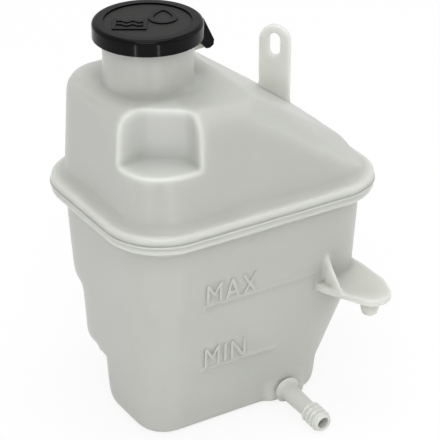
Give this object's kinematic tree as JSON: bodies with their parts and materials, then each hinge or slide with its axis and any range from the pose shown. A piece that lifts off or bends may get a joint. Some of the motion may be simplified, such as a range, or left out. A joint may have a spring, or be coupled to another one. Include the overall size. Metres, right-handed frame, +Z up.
{
  "type": "coolant expansion tank",
  "caption": "Upright translucent plastic coolant tank with a welded flange, round filler neck with a hinged black lid, mounting tab, side lug with peg and barbed hose outlet.",
  "frame": {"origin": "on the foot's underside, below the middle of the body at the weld seam", "axes": "+Z up from the foot to the lid; +X along the face with the level marks, away from the filler neck; -Y is the way that face looks, and the hose outlet and the side lug point that way"},
  "size_m": [0.1696, 0.151, 0.2338],
  "materials": {
    "upper_shell": "translucent natural polypropylene, satin",
    "lower_shell": "translucent natural polypropylene, satin",
    "lid": "black satin moulded plastic",
    "lid_seal": "soft black seal"
  },
  "bodies": {
    "tank": {"upper_shell": "upper_shell", "lower_shell": "lower_shell"},
    "lid": {"lid": "lid", "lid_seal": "lid_seal"}
  },
  "joints": [
    {"name": "lid_hinge", "type": "hinge", "parent": "tank", "child": "lid", "pos_m": [-0.005, 0.005, 0.2166], "axis": [0, 1, 0], "range_deg": [0, 135]}
  ]
}
